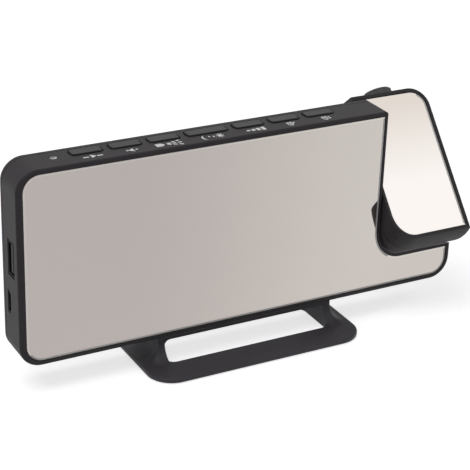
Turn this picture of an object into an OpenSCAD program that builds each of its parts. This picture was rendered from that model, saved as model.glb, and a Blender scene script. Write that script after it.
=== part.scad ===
// Projection alarm clock with a mirror front, a turning projector head and a ring stand.
// Millimetres. +X is the clock's right as you face it, +Y runs back, +Z is up.
// The origin lies on the table, in the middle of the front foot strip's underside.

/* [Body] */
// Width of the body
body_w = 190; // [184:1:210]
// Height of the body
body_h = 78; // [76:1:90]
// Depth of the body, front to back
body_t = 15.5; // [15.5:0.5:20]
// Radius of the outer corners, seen from the front
corner_r = 8.6; // [7:0.2:11]
// Radius of the edge between the front and the sides
front_round = 0.8; // [0.4:0.1:1.4]
// Radius of the edge between the back and the sides
back_round = 0.3; // [0.2:0.1:1.2]
// Thickness of the moulded walls
wall = 1.8; // [1.6:0.1:2]
// Depth of the rear cover at its edge
cover_t = 2.3; // [2.2:0.1:3]
// Gap between moulded parts that fit into each other
fit_gap = 0.15; // [0.1:0.05:0.25]
// Width and depth of the groove at the seams
seam = 0.25; // [0.15:0.05:0.35]

/* [Mirror] */
// Thickness of the mirror sheets
mirror_t = 1.5; // [1:0.1:1.6]
// How far the mirror lies behind the bezel's front
mirror_recess = 0.2; // [0.1:0.1:0.4]
// Width of the bezel at the top, the right and below
bezel = 2; // [1.6:0.1:2.6]
// Width of the bezel at the left
bezel_left = 2.75; // [2:0.05:3.2]
// Width of the bezel along the notch
notch_bezel = 1.15; // [0.9:0.05:1.5]

/* [Notch and head] */
// Width of the notch that the head fills
notch_w = 35.8; // [34:0.1:39]
// Height of the head's axle over the body's underside
pivot_up = 39; // [36:0.5:42]
// Distance of the axle from the body's back
pivot_back = 5.8; // [5.7:0.1:6.4]
// Radius of the head's round underside about the axle
drum_r = 25.2; // [22:0.2:27]
// Corner radius of the head's underside
drum_corner = 10; // [8:0.5:11]
// Gap under the head
drum_gap = 0.7; // [0.5:0.1:1.2]
// Gap between the head and the notch's wall
head_gap = 0.4; // [0.3:0.05:0.8]
// Width of the rim round the head's mirror, at its left and below
head_rim = 1.25; // [0.9:0.05:1.6]
// Thickness of the head's shells
head_wall = 1.6; // [1.2:0.1:1.8]
// Depth of the head's front shell
head_split = 8.6; // [8:0.1:10]
// Corner radius at the top of the notch's wall
notch_round = 1; // [0.5:0.1:1.5]
// How far the head is tipped back as it stands
head_tilt = 40.3; // [0:0.1:89]

/* [Axle] */
// Outer diameter of the hollow axle
axle_d = 6.4; // [5.6:0.1:6.4]
// Bore of the hollow axle
axle_bore = 4; // [3:0.1:4.4]
// Radial clearance of the axle in its bearing
axle_play = 0.06; // [0.03:0.01:0.1]
// Length of the bearing block
bearing_len = 6; // [4:0.5:7]
// Thickness of the spring washer
washer_t = 0.6; // [0.4:0.1:0.8]
// Thickness of the retaining clip
clip_t = 0.9; // [0.7:0.1:1.1]

/* [Projector] */
// How far the lens lies left of the head's middle
lens_left = 0.6; // [0:0.1:1.5]
// Diameter of the focus ring
ring_d = 12.1; // [11:0.1:12.4]
// How far the focus ring stands out of the head
ring_h = 2.8; // [2:0.1:3.6]
// Outer diameter of the lens sleeve
sleeve_d = 11.2; // [11:0.1:11.4]
// Diameter of the focus ring's stem
stem_d = 8.9; // [8.7:0.1:9.1]
// Outer diameter of the lens cell
cell_d = 7.4; // [7.2:0.1:7.5]
// Diameter of the projection lens
lens_d = 6.2; // [5.8:0.1:6.3]
// Distance between the lamp's board and the image panel
throw_len = 11; // [10:0.5:12]
// Thickness of the lamp's board
lamp_board_t = 1.2; // [0.8:0.1:1.3]

/* [Buttons] */
// Widths of the buttons beside each other, the first one being 1
button_parts = [1, 1, 1, 1.38, 1, 1, 1];
// Distance of the first button from the body's left side
button_left = 24.6; // [20:0.1:26]
// Distance of the last button from the notch
button_right = 20.4; // [14:0.1:26]
// Distance of the sensor window from the body's left side
sensor_left = 17.85; // [12:0.05:18]
// Space between two buttons
button_space = 3.4; // [3:0.1:3.6]
// Depth of the buttons, front to back
button_d = 4.8; // [4.4:0.1:5.2]
// Distance of the buttons from the body's back
button_back = 3.4; // [3.2:0.1:3.8]
// Corner radius of the buttons
button_r = 1.3; // [0.8:0.1:1.8]
// How far the buttons stand out of the top
button_proud = 0.4; // [0.1:0.05:0.6]
// Gap round the buttons
button_gap = 0.5; // [0.3:0.05:0.6]
// Travel of the buttons
button_travel = 0.45; // [0.3:0.05:0.5]

/* [Display and boards] */
// Space between the display block and the side walls
display_side = 17.6; // [17:0.1:22]
// Height of the display block
display_h = 42; // [36:1:42]
// Depth of the display block
display_t = 7; // [5:0.5:7]
// Height of the digits
digit_h = 30; // [24:1:32]
// Thickness of the main board
board_t = 1.6; // [1:0.2:1.6]
// Space behind the main board
board_back = 1; // [0.9:0.1:1.2]
// Height of the USB-A socket's middle over the body's underside
usb_a_up = 42.4; // [38:0.1:44]
// Height of the micro-USB socket's middle over the body's underside
micro_up = 24; // [22:0.5:26]

/* [Battery] */
// Diameter of the coin cell
coin_d = 20; // [16:1:20]
// Thickness of the coin cell
coin_t = 3.2; // [1.6:0.1:3.2]
// Side of the battery door
door_w = 28; // [27:1:32]
// Thickness of the battery door
door_t = 1.4; // [1.2:0.1:1.5]
// Distance of the coin cell's middle from the notch's wall
battery_in = 39.1; // [37:0.1:42]

/* [Screws] */
// Diameter of the screws
screw_d = 2; // [1.8:0.1:2.2]
// Length of the cover's screws
cover_screw_len = 8.5; // [7:0.5:9]
// Head diameter of the cover's screws
cover_screw_head = 4.2; // [3.8:0.1:4.4]
// Head diameter of the small screws
small_screw_head = 3.8; // [3.4:0.1:4]
// Length of the stand's screws in the body
stand_screw_len = 6.5; // [5:0.5:7]
// Head diameter of the stand's screws
stand_screw_head = 4.6; // [4:0.1:5]
// Distance of the stand's screws from the middle
stand_screw_x = 28; // [20:1:30]

/* [Stand] */
// Height of the body's underside over the table
stand_h = 12; // [10:0.5:20]
// Width of the stand
stand_w = 92.5; // [80:0.5:110]
// How far the stand runs out before and behind the body
stand_reach = 15.35; // [13:0.5:24]
// Width of the stand's front and rear bars
bar_w = 12.4; // [11.4:0.1:13]
// Width of the stand's side bars
side_bar_w = 10.6; // [9:0.1:12]
// Distance of the foot strips' middle from the ring's front and back
strip_in = 5.65; // [5:0.05:6]
// Thickness of the stand's ring and of its top plate
stand_t = 2; // [1.6:0.1:2.6]
// Width of the two posts
post_w = 2.8; // [2.4:0.1:4]
// Outer corner radius of the stand's ring
ring_r = 10.4; // [6:0.2:12]
// Inner corner radius of the stand's ring
hole_r = 3.3; // [2:0.1:5]
// Fillet between the posts and the top plate
post_fillet = 2.3; // [1:0.1:3]
// Fillet between the posts and the ring
foot_fillet = 7; // [2:0.1:7.4]
// Rounding of the ring's outer edges
ring_round = 0.5; // [0.3:0.1:0.8]
// How far the foot strips stand out below the ring
foot_proud = 0.3; // [0.2:0.1:0.5]

/* [Hidden] */
$fn = 96;

// Places in body space: origin under the body's front face, in the middle of its underside.
front_y = stand_reach - strip_in;
notch_x = body_w / 2 - notch_w;
pivot_y = body_t - pivot_back;
pivot_z = pivot_up;
head_x = notch_x + head_gap;
axle_end = notch_x - wall - bearing_len - washer_t - clip_t - 1.6;
cover_y = body_t - cover_t;
inner_back = body_t - wall;
pocket_y = mirror_recess + mirror_t;
front_wall = 1.5;
cavity_y = pocket_y + front_wall;
board_y = inner_back - board_back - board_t;
notch_r = drum_r + drum_gap;
notch_corner = drum_corner + 1;
arc_steps = 8;

// Buttons and what lies under them
button_y = body_t - button_back - button_d / 2;
button_flange = 1;
flange_lip = 0.8;
under_top = body_h - wall;
flange_z = under_top - 0.1 - button_flange;
plunger_h = 0.9;
stem_h = 0.8;
switch_h = 3.5;
switch_w = 6;
switch_top = flange_z - plunger_h - button_travel - 0.05;
button_board_t = 1.2;
button_board_d = 7;
button_board_front = 3.6;
button_board_z = switch_top - stem_h - switch_h - button_board_t;
sensor_d = 2.7;
sensor_rim = 0.45;
sensor_x = -body_w / 2 + sensor_left;
sensor_y = button_y - 0.9;
ledge_t = 2;

// Display and main board
left_inner = -body_w / 2 + wall;
display_x = (left_inner + notch_x - notch_bezel) / 2;
display_w = notch_x - notch_bezel - left_inner - 2 * display_side;
display_z = body_h / 2;
display_y = pocket_y + 0.3;
window_gap = 0.5;
board_left = left_inner + 2.2;
board_right = axle_end - 0.8;
board_low = 12;
board_high = button_board_z - ledge_t - 0.6;
screw_hole = screw_d + 0.1;
screw_free = screw_hole + 0.3;
boss_d = 5.4;
cover_sink = 1.1;
head_sink = 1.4;
door_sink = 0.8;
board_screw_len = 5.5;
door_screw_len = 2.9;
stand_head_t = 1.3;
stand_boss_h = 8;
board_posts = [[board_left + 6.5, board_low + 3], [board_right - 4, board_low + 3],
    [board_right - 4, board_high - 3], [display_x - display_w / 2 + 6, board_high - 2.4]];
battery_x = notch_x - battery_in;
battery_z = 31;
cover_posts = [[left_inner + 6.6, under_top - 5], [left_inner + 6.6, 6.8], [battery_x - 22, 6.8],
    [notch_x - 9.1, 6.8], [body_w / 2 - 8.6, 6.6], [notch_x - 9.1, under_top - 5]];
buzzer_x = board_left + 7;
buzzer_z = board_high - 7.2;
buzzer_d = 10.6;
buzzer_t = 5;
chip_w = 12;
chip_h = 4.6;
chip_t = 1.4;
usb_a_h = 13.1;
usb_a_t = 5.7;
usb_len = 14;
usb_lip = 0.2;
usb_off = 1.75;
usb_slot_h = usb_a_h + 1.3;
usb_slot_t = usb_a_t + 0.5;
usb_tab = [2, 1];
usb_shell_t = 0.35;
usb_tongue_t = 1.8;
usb_tongue_in = 0.3;
usb_tongue_h = usb_a_h - 1.9;
micro_h = 8.8;
micro_t = 2.4;
micro_gap = 0.3;
micro_off = 0.5;
usb_a_y = board_y - usb_off - usb_a_t / 2;
micro_y = board_y - micro_off - micro_t / 2;

// Battery, seen from the back
cup_wall = 1.2;
cup_d = coin_d + 1.6;
cup_floor = 1;
contact_t = 0.3;
door_y = body_t - door_t;
coin_y = door_y - 0.1 - coin_t;
cup_y = coin_y - contact_t - cup_floor;
door_screw_at = [battery_x + door_w / 2 - 3, battery_z - door_w / 2 + 3];

// Head, drawn upright and tipped by head_tilt
lens_x = (head_x + body_w / 2) / 2 - lens_left;
lens_y = body_t / 2;
head_window = sleeve_d + 1.2;
head_under_top = body_h - head_wall;
sleeve_low = head_under_top - 16.5;
sleeve_len = head_under_top - 0.2 - sleeve_low;
frame_low = sleeve_low - throw_len - 5;
frame_w = 12.2;
frame_y = pocket_y + 0.2;
frame_d = body_t - head_wall - 0.2 - frame_y;
optic_bore = 9.6;
panel_w = 9.2;
panel_t = 1;
panel_z = frame_low + throw_len;
lamp_h = 2;
condenser_z = frame_low + 5;
condenser_t = 3;
condenser_rim = 1.4;
stem_play = 0.05;
ring_gap = 0.2;
cell_len = 7;
cell_sink = 1.2;
head_posts = [[head_x + 5, head_under_top - 5], [body_w / 2 - 6.2, head_under_top - 9],
    [lens_x + 7, pivot_z - drum_r + 6]];
lead_d = 2.4;
lead_end = display_x + display_w / 2 + 3.3;
flange_d = 7.8;
clip_d = 7.4;
collar_t = head_gap - 0.1;
washer_x = notch_x - wall - bearing_len - 0.05 - washer_t;
clip_x = washer_x - clip_t - 0.05;

// Stand
ring_low = foot_proud;
ring_top = ring_low + stand_t;
plate_low = stand_h - stand_t;
ring_depth = body_t + 2 * stand_reach;
foot_r = min(foot_fillet, plate_low - ring_top - 0.2, side_bar_w - post_w - ring_round - 0.2);
post_y0 = 1.5;
post_y1 = body_t - 1.5;
strip_w = 5;
strip_l = 56;
strip_sink = 0.7;

function sum_before(list, i) = i == 0 ? 0 : list[i - 1] + sum_before(list, i - 1);
button_row = notch_x - button_right + body_w / 2 - button_left - 6 * button_space;
button_widths = [for (part = button_parts) part * button_row / sum_before(button_parts, 7)];
function button_x(i) =
    -body_w / 2 + button_left + sum_before(button_widths, i) + i * button_space
    + button_widths[i] / 2;
function arc(cx, cy, r, from, to, steps) =
    [for (i = [0:steps]) let (a = from + (to - from) * i / steps)
        [cx + r * cos(a), cy + r * sin(a)]];
function round_rect(w, h, r) = concat(
    arc(w / 2 - r, h / 2 - r, r, 0, 90, arc_steps),
    arc(-w / 2 + r, h / 2 - r, r, 90, 180, arc_steps),
    arc(-w / 2 + r, -h / 2 + r, r, 180, 270, arc_steps),
    arc(w / 2 - r, -h / 2 + r, r, 270, 360, arc_steps));

// ---- Shared shapes

// Moves from body space to the table frame
module in_body() {
    translate([0, front_y, stand_h]) children();
}

// Tips the head about its axle, in body space
module in_head() {
    in_body() translate([0, pivot_y, pivot_z]) rotate([-head_tilt, 0, 0])
        translate([0, -pivot_y, -pivot_z]) children();
}

// A cylinder along +X, +Y or -Y from a point
module rod_x(at, d, len) { translate(at) rotate([0, 90, 0]) cylinder(d = d, h = len); }
module rod_y(at, d, len) { translate(at) rotate([-90, 0, 0]) cylinder(d = d, h = len); }

// Section through an edge: depth u across, t thick, rounded at its outer front and back
module edge_section(u, t, rf, rb) {
    polygon(concat([[0, 0]], arc(u - rf, rf, rf, -90, 0, arc_steps),
        arc(u - rb, t - rb, rb, 0, 90, arc_steps), [[0, t]]));
}

// Slab with round corners and round front and back edges, t thick along +Y
module slab(w, h, t, r, rf, rb) {
    translate([-w / 2 + r, 0, r]) cube([w - 2 * r, t, h - 2 * r]);
    for (side = [0, 1]) mirror([side, 0, 0]) {
        translate([w / 2 - r, 0, r]) linear_extrude(h - 2 * r) edge_section(r, t, rf, rb);
        translate([w / 2 - r, 0, r]) rotate([-90, 0, 0])
            rotate_extrude(angle = 90) edge_section(r, t, rf, rb);
        translate([w / 2 - r, 0, h - r]) mirror([0, 0, 1]) rotate([-90, 0, 0])
            rotate_extrude(angle = 90) edge_section(r, t, rf, rb);
    }
    translate([w / 2 - r, 0, h - r]) rotate([0, -90, 0])
        linear_extrude(w - 2 * r) edge_section(r, t, rf, rb);
    translate([-w / 2 + r, 0, r]) rotate([0, 90, 0])
        linear_extrude(w - 2 * r) edge_section(r, t, rf, rb);
}

// Plain sheet in the body's outline, set in by i, from y0 to y1
module sheet(i, y0, y1) {
    translate([0, y0, body_h / 2]) rotate([-90, 0, 0])
        linear_extrude(y1 - y0) polygon(round_rect(body_w - 2 * i, body_h - 2 * i, corner_r - i));
}

// Sheet behind the bezel, reaching under it by g
module mirror_sheet(g, y0, y1) {
    extra = bezel_left - bezel;
    translate([extra / 2, y0, body_h / 2]) rotate([-90, 0, 0]) linear_extrude(y1 - y0)
        polygon(round_rect(body_w - 2 * (bezel - g) - extra, body_h - 2 * (bezel - g),
            corner_r - bezel + g));
}

module body_slab() {
    slab(body_w, body_h, body_t, corner_r, front_round, back_round);
}

// What turns about the axle: a drum with a round corner, and all that lies above it
module swing_space(x0, r, c) {
    translate([0, pivot_y, pivot_z]) rotate([0, 90, 0]) rotate_extrude()
        polygon(concat([[0, x0]], arc(r - c, x0 + c, c, -90, 0, 2 * arc_steps),
            [[r, body_w], [0, body_w]]));
    translate([x0, -body_t, pivot_z]) cube([body_w, 3 * body_t, body_h]);
}

// The notch, grown by g into the body
module notch(g) { swing_space(notch_x - g, notch_r + g, notch_corner + g); }

// What the rounding at the top of the notch's wall takes off
module notch_rounding() {
    difference() {
        translate([notch_x - notch_round, -1, body_h - notch_round])
            cube([notch_round + 1, body_t + 2, notch_round + 1]);
        rod_y([notch_x - notch_round, -2, body_h - notch_round], 2 * notch_round, body_t + 4);
    }
}

// The head's space, set in by i
module head_space(i) { swing_space(head_x + i, drum_r - i, drum_corner - i); }

// A screw along +Y seen from the back: head at y_head, shank running forwards
module screw(at, y_head, len, head_d, head_t) {
    rod_y([at[0], y_head - len, at[1]], screw_d, len);
    difference() {
        rod_y([at[0], y_head, at[1]], head_d, head_t);
        for (turn = [0, 90]) translate([at[0], y_head + head_t, at[1]]) rotate([0, turn, 0])
            cube([0.5, 0.7, head_d * 0.6], center = true);
    }
}

// ---- Casing

module housing_bosses() {
    for (p = cover_posts) rod_y([p[0], cavity_y - 0.3, p[1]], boss_d, cover_y - cavity_y + 0.3);
    for (p = board_posts) rod_y([p[0], cavity_y - 0.3, p[1]], boss_d, board_y - cavity_y + 0.3);
    // bearing block of the head's axle
    translate([notch_x - wall - bearing_len, pivot_y - 5, pivot_z - 5]) {
        cube([bearing_len - 0.1, inner_back - 0.2 - pivot_y + 5, 10]);
        cube([bearing_len + 0.3, cover_y - pivot_y + 5, 10]);
    }
    // bosses for the stand's screws
    for (side = [-1, 1]) translate([side * stand_screw_x, body_t / 2, wall - 0.3])
        cylinder(d = boss_d, h = stand_boss_h);
    // ledges under the button board
    for (x = [sensor_x - 1, button_x(2), button_x(4), button_x(6) + button_widths[6] / 2 - 1])
        translate([x, cavity_y - 0.3, button_board_z - ledge_t])
            cube([2, cover_y - cavity_y, ledge_t]);
}

module housing_holes() {
    for (p = cover_posts)
        rod_y([p[0], body_t - cover_sink - cover_screw_len - 1, p[1]], screw_hole, cover_screw_len);
    for (p = board_posts)
        rod_y([p[0], board_y - board_screw_len, p[1]], screw_hole, board_screw_len + 0.1);
    rod_x([notch_x - wall - bearing_len - 1, pivot_y, pivot_z], axle_d + 2 * axle_play,
        wall + bearing_len + 2);
    for (side = [-1, 1]) translate([side * stand_screw_x, body_t / 2, -1])
        cylinder(d = screw_hole, h = stand_screw_len + 1.8);
    for (i = [0:6]) translate([button_x(i), button_y, under_top - 1])
        linear_extrude(wall + 2)
            polygon(round_rect(button_widths[i] + 2 * button_gap, button_d + 2 * button_gap,
                button_r + button_gap));
    translate([sensor_x, sensor_y, under_top - 1]) cylinder(d = sensor_d + 0.2, h = wall + 2);
    translate([sensor_x, sensor_y, body_h - sensor_rim + 0.1])
        cylinder(d1 = sensor_d + 0.2, d2 = sensor_d + 0.2 + 2 * sensor_rim, h = sensor_rim);
    // socket slots in the left side
    translate([-body_w / 2 - 1, usb_a_y - usb_slot_t / 2, usb_a_up - usb_slot_h / 2])
        cube([wall + 2, usb_slot_t, usb_slot_h]);
    translate([-body_w / 2 - 1, micro_y, micro_up]) rotate([0, 90, 0]) linear_extrude(wall + 2)
        micro_outline(micro_gap);
}

module housing() {
    color([0.26, 0.25, 0.27]) in_body() difference() {
        union() {
            difference() {
                body_slab();
                translate([-body_w, cover_y, -1]) cube([2 * body_w, body_t, body_h + 2]);
                notch(0);
                difference() {
                    sheet(wall, cavity_y, body_t);
                    notch(wall);
                }
            }
            housing_bosses();
        }
        // pocket of the mirror and window of the display
        difference() {
            mirror_sheet(fit_gap, -1, pocket_y);
            notch(notch_bezel - fit_gap);
        }
        translate([display_x - display_w / 2 - window_gap, 0, display_z - display_h / 2 - window_gap])
            cube([display_w + 2 * window_gap, cavity_y + 1, display_h + 2 * window_gap]);
        housing_holes();
        notch_rounding();
    }
}

module mirror_panel() {
    color([0.78, 0.75, 0.73]) in_body() difference() {
        mirror_sheet(0, mirror_recess, pocket_y);
        notch(notch_bezel);
    }
}

module rear_cover() {
    color([0.24, 0.23, 0.25]) in_body() difference() {
        union() {
            difference() {
                body_slab();
                translate([-body_w, -1, -1]) cube([2 * body_w, cover_y + 1, body_h + 2]);
                notch(0);
                difference() {
                    sheet(wall, cover_y - 1, inner_back);
                    notch(wall);
                }
            }
            rod_y([battery_x, cup_y, battery_z], cup_d + 2 * cup_wall, inner_back + 0.3 - cup_y);
            rod_y([door_screw_at[0], inner_back - 3, door_screw_at[1]], boss_d, 3.3);
        }
        // groove of the seam
        difference() {
            translate([-body_w, cover_y - 1, -1]) cube([2 * body_w, 1 + seam, body_h + 2]);
            difference() {
                sheet(seam, cover_y - 2, cover_y + 1);
                notch(seam);
            }
        }
        notch_rounding();
        rod_y([battery_x, cup_y + cup_floor, battery_z], cup_d, body_t);
        rod_y([door_screw_at[0], body_t - door_sink - door_screw_len - 0.7, door_screw_at[1]],
            screw_hole, body_t);
        translate([battery_x, door_y - 0.1, battery_z]) rotate([-90, 0, 0]) linear_extrude(body_t)
            polygon(round_rect(door_w + 2 * fit_gap, door_w + 2 * fit_gap, 3));
        rod_x([notch_x - wall - bearing_len - 1, pivot_y, pivot_z], axle_d + 2 * axle_play,
            wall + bearing_len + 2);
        for (p = cover_posts) {
            rod_y([p[0], cover_y - 1, p[1]], screw_free, body_t);
            rod_y([p[0], body_t - cover_sink, p[1]], cover_screw_head + 0.4, body_t);
        }
        // sound holes before the buzzer
        for (ring = [0:2], k = [0:max(0, 6 * ring - 1)])
            rod_y([buzzer_x + 2.6 * ring * cos(60 * k / max(1, ring)), cover_y - 1,
                buzzer_z + 2.6 * ring * sin(60 * k / max(1, ring))], 1.3, body_t);
    }
}

module cover_screws() {
    color([0.6, 0.6, 0.62]) in_body()
        for (p = cover_posts) screw(p, body_t - cover_sink, cover_screw_len, cover_screw_head, 0.9);
}

// ---- Buttons

module button(i) {
    color([0.3, 0.29, 0.31]) in_body() translate([button_x(i), button_y, 0]) {
        top = body_h + button_proud;
        w = button_widths[i];
        translate([0, 0, flange_z + 0.5]) linear_extrude(top - 0.3 - flange_z - 0.5)
            polygon(round_rect(w, button_d, button_r));
        translate([0, 0, top - 0.4]) linear_extrude(0.4)
            polygon(round_rect(w - 0.5, button_d - 0.5, button_r - 0.25));
        translate([0, 0, flange_z]) linear_extrude(button_flange)
            polygon(round_rect(w + 2 * flange_lip, button_d + 2 * flange_lip, button_r));
        translate([0, 0, flange_z - plunger_h]) cylinder(d = 3, h = plunger_h + 0.2);
    }
}

module button_down() { button(0); }
module button_up() { button(1); }
module button_project() { button(2); }
module button_snooze() { button(3); }
module button_mode() { button(4); }
module button_alarm_1() { button(5); }
module button_alarm_2() { button(6); }

module sensor_lens() {
    low = button_board_z + button_board_t + 2.7;
    color([0.9, 0.9, 0.88]) in_body() translate([sensor_x, sensor_y, low])
        cylinder(d = sensor_d, h = body_h - 0.1 - low);
}

module light_sensor() {
    color([0.15, 0.15, 0.16]) in_body()
        translate([sensor_x - 1.5, sensor_y - 1.5, button_board_z + button_board_t])
            cube([3, 3, 2.4]);
}

module button_board() {
    left = sensor_x - 2.5;
    right = button_x(6) + button_widths[6] / 2 + 1.5;
    color([0.1, 0.32, 0.18]) in_body() translate([left, button_y - button_board_front, button_board_z])
        cube([right - left, button_board_d, button_board_t]);
}

module tact_switches() {
    color([0.2, 0.2, 0.21]) in_body() for (i = [0:6]) {
        translate([button_x(i), button_y, 0]) {
            translate([-switch_w / 2, -switch_w / 2, button_board_z + button_board_t])
                cube([switch_w, switch_w, switch_h]);
            translate([0, 0, switch_top - stem_h - 0.1]) cylinder(d = 3.2, h = stem_h + 0.1);
        }
    }
}

// ---- Display, boards and sockets

// One digit of seven bars, cut into the display's face
module digit_bars(h) {
    bar = h * 0.09;
    w = h * 0.52;
    for (z = [-1, 0, 1]) translate([-w / 2 + bar, 0, z * (h - bar) / 2 - bar / 2])
        cube([w - 2 * bar, 0.4, bar]);
    for (x = [-1, 1], z = [-1, 1])
        translate([x * (w - bar) / 2 - bar / 2, 0, z * (h - bar) / 4 - (h / 2 - 2.5 * bar) / 2])
            cube([bar, 0.4, h / 2 - 2.5 * bar]);
}

module display_module() {
    color([0.12, 0.12, 0.13]) in_body() translate([display_x, display_y, display_z]) {
        difference() {
            translate([-display_w / 2, 0, -display_h / 2]) cube([display_w, display_t, display_h]);
            for (i = [-2, -1, 1, 2])
                translate([i * display_w * 0.19 - sign(i) * display_w * 0.05, -0.1, 0])
                    digit_bars(digit_h);
            for (z = [-1, 1]) rod_y([0, -0.1, z * digit_h * 0.2], 3, 0.4);
        }
        for (x = [-1, 1], z = [-1, 1])
            rod_y([x * (display_w / 2 - 4), display_t - 0.1, z * (display_h / 2 - 3)], 2,
                board_y - display_y - display_t + 0.1);
    }
}

module main_board() {
    color([0.08, 0.36, 0.2]) in_body() difference() {
        translate([board_left, board_y, board_low])
            cube([board_right - board_left, board_t, board_high - board_low]);
        for (p = board_posts) rod_y([p[0], board_y - 1, p[1]], screw_free + 0.1, board_t + 2);
        rod_y([battery_x, board_y - 1, battery_z], cup_d + 2 * cup_wall + 1, board_t + 2);
        rod_y([door_screw_at[0], board_y - 1, door_screw_at[1]], boss_d + 1, board_t + 2);
    }
}

module board_screws() {
    color([0.75, 0.68, 0.4]) in_body()
        for (p = board_posts)
            screw(p, board_y + board_t, board_screw_len, small_screw_head, board_back - 0.2);
}

module control_chip() {
    color([0.1, 0.1, 0.1]) in_body()
        translate([display_x - chip_w / 2, board_y - chip_t, board_low + 0.4])
            cube([chip_w, chip_t, chip_h]);
}

module buzzer() {
    color([0.13, 0.13, 0.13]) in_body() difference() {
        rod_y([buzzer_x, board_y - buzzer_t, buzzer_z], buzzer_d, buzzer_t);
        rod_y([buzzer_x, board_y - buzzer_t - 0.1, buzzer_z], 1.6, 2);
    }
}

module lead_connector() {
    color([0.92, 0.9, 0.84]) in_body()
        translate([lead_end - 2.8, board_y - 3.4, pivot_z - 3]) cube([2.5, 3.4, 6]);
}

// Outline of the micro socket: two corners cut off on its front side
module micro_outline(g) {
    h = micro_h / 2 + g;
    t = micro_t / 2 + g;
    polygon([[-h, t], [-h, -t + 0.9], [-h + 1.1, -t], [h - 1.1, -t], [h, -t + 0.9], [h, t]]);
}

module usb_a_socket() {
    color([0.16, 0.16, 0.17]) in_body()
        translate([-body_w / 2 + usb_lip, usb_a_y - usb_a_t / 2, usb_a_up - usb_a_h / 2]) {
            difference() {
                cube([usb_len, usb_a_t, usb_a_h]);
                translate([-1, usb_shell_t, usb_shell_t])
                    cube([usb_len, usb_a_t - 2 * usb_shell_t, usb_a_h - 2 * usb_shell_t]);
            }
            for (x = [4, 10], z = [1, usb_a_h - 2]) translate([x, usb_a_t - 0.1, z])
                cube([usb_tab[0], usb_off + 0.1, usb_tab[1]]);
        }
}

module usb_a_tongue() {
    color([0.16, 0.16, 0.17]) in_body()
        translate([-body_w / 2 + usb_lip + usb_tongue_in, usb_a_y - usb_tongue_t / 2,
            usb_a_up - usb_tongue_h / 2])
            cube([usb_len - 1 - usb_tongue_in, usb_tongue_t, usb_tongue_h]);
}

module usb_contacts() {
    color([0.85, 0.7, 0.35]) in_body() for (z = [-3.5, -1, 1, 3.5])
        translate([-body_w / 2 + usb_lip + usb_tongue_in + 0.8, usb_a_y - usb_tongue_t / 2 - 0.1,
            usb_a_up + z - 0.5])
            cube([8, 0.1, 1]);
}

module micro_usb_socket() {
    color([0.16, 0.16, 0.17]) in_body() translate([-body_w / 2 + usb_lip, micro_y, micro_up]) {
        rotate([0, 90, 0]) difference() {
            linear_extrude(6) micro_outline(0);
            translate([0, 0, -1]) linear_extrude(6) micro_outline(-0.3);
        }
        for (z = [-3, 2]) translate([3, micro_t / 2 - 0.1, z])
            cube([usb_tab[0], micro_off + 0.1, usb_tab[1]]);
    }
}

module micro_usb_tongue() {
    color([0.16, 0.16, 0.17]) in_body() translate([-body_w / 2 + usb_lip, micro_y, micro_up])
        translate([0.6, -0.3, -2.6]) cube([4.4, 0.6, 5.2]);
}

// ---- Battery

module coin_cell() {
    color([0.78, 0.78, 0.79]) in_body() {
        rod_y([battery_x, coin_y + 0.4, battery_z], coin_d, coin_t - 0.4);
        rod_y([battery_x, coin_y, battery_z], coin_d - 2.6, 0.5);
    }
}

module cell_contact() {
    color([0.8, 0.72, 0.45]) in_body()
        rod_y([battery_x, coin_y - contact_t, battery_z], coin_d * 0.6, contact_t);
}

module battery_door() {
    color([0.25, 0.24, 0.26]) in_body() difference() {
        translate([battery_x, door_y, battery_z]) rotate([-90, 0, 0]) linear_extrude(door_t)
            polygon(round_rect(door_w, door_w, 2.85));
        rod_y([door_screw_at[0], door_y - 1, door_screw_at[1]], screw_free, body_t);
        rod_y([door_screw_at[0], body_t - door_sink, door_screw_at[1]], small_screw_head + 0.4, body_t);
        // grip lines
        for (i = [-2:2]) translate([battery_x - 5, body_t - 0.3, battery_z + door_w / 2 - 6 + i * 1.3])
            cube([10, 1, 0.6]);
    }
}

module door_screw() {
    color([0.6, 0.6, 0.62]) in_body()
        screw(door_screw_at, body_t - door_sink, door_screw_len, small_screw_head, 0.7);
}

// ---- Head

// The head's outer form, upright
module head_form() {
    intersection() {
        body_slab();
        head_space(0);
    }
}

module head_shell() {
    difference() {
        head_form();
        intersection() {
            sheet(head_wall, pocket_y + 1, body_t - head_wall);
            head_space(head_wall);
        }
        rod_x([head_x - 1, pivot_y, pivot_z], axle_d + 2 * fit_gap, head_wall + 2);
        translate([lens_x, lens_y, head_under_top - 1])
            cylinder(d = stem_d + 0.6, h = head_wall + 2);
    }
}

module head_front() {
    color([0.26, 0.25, 0.27]) in_head() difference() {
        union() {
            difference() {
                head_shell();
                translate([0, head_split, -1]) cube([body_w, body_t, body_h + 2]);
            }
            for (p = head_posts) rod_y([p[0], pocket_y + 0.5, p[1]], boss_d, head_split - pocket_y - 0.5);
        }
        intersection() {
            sheet(bezel - fit_gap, -1, pocket_y);
            head_space(head_rim - fit_gap);
        }
        for (p = head_posts) rod_y([p[0], head_split - 5, p[1]], screw_hole, 6);
        // opening behind the mirror that takes the optics
        translate([lens_x - head_window / 2, pocket_y - 0.1, frame_low - lamp_board_t - 0.4])
            cube([head_window, 2, head_under_top - frame_low + lamp_board_t + 0.4]);
    }
}

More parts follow.
